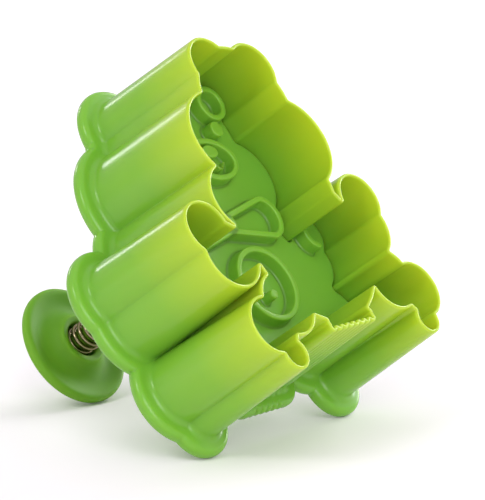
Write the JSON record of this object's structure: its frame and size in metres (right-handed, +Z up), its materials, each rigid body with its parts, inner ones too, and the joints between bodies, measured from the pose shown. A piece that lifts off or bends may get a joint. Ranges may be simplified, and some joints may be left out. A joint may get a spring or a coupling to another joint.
{
  "type": "plunger cutter",
  "caption": "Spring plunger cutter in green plastic with the outline of a teddy bear that leans its head, a raised-line stamp plate inside and a round push knob",
  "frame": {"origin": "on the plunger axis, level with the cutting edge, which is the middle of the underside", "axes": "+Z up along the plunger axis from the cutting edge to the knob; +Y from the bear's feet to its ears; +X to the side"},
  "size_m": [0.1073, 0.1143, 0.0996],
  "materials": {
    "green_shell": "glossy, slightly translucent moulding",
    "green_stamp": "glossy moulding",
    "green_stem": "glossy moulding",
    "green_knob": "glossy moulding",
    "spring_steel": "bright nickel-toned wire",
    "washer_steel": "plain steel",
    "screw_steel": "plain steel"
  },
  "bodies": {
    "shell": {"cutter_shell": "green_shell", "spring_washer": "washer_steel", "return_spring": "spring_steel"},
    "plunger": {"stamp_plate": "green_stamp", "plunger_stem": "green_stem", "foot_screws": "screw_steel", "knob": "green_knob", "knob_screw": "screw_steel", "knob_cap": "green_knob"}
  },
  "joints": [
    {"name": "plunger_slide", "type": "slide", "parent": "shell", "child": "plunger", "axis": [0, 0, -1], "range_m": [0, 0.0175], "stiffness_N_per_m": 850, "springref_m": -0.003, "deforming": ["return_spring"]}
  ]
}
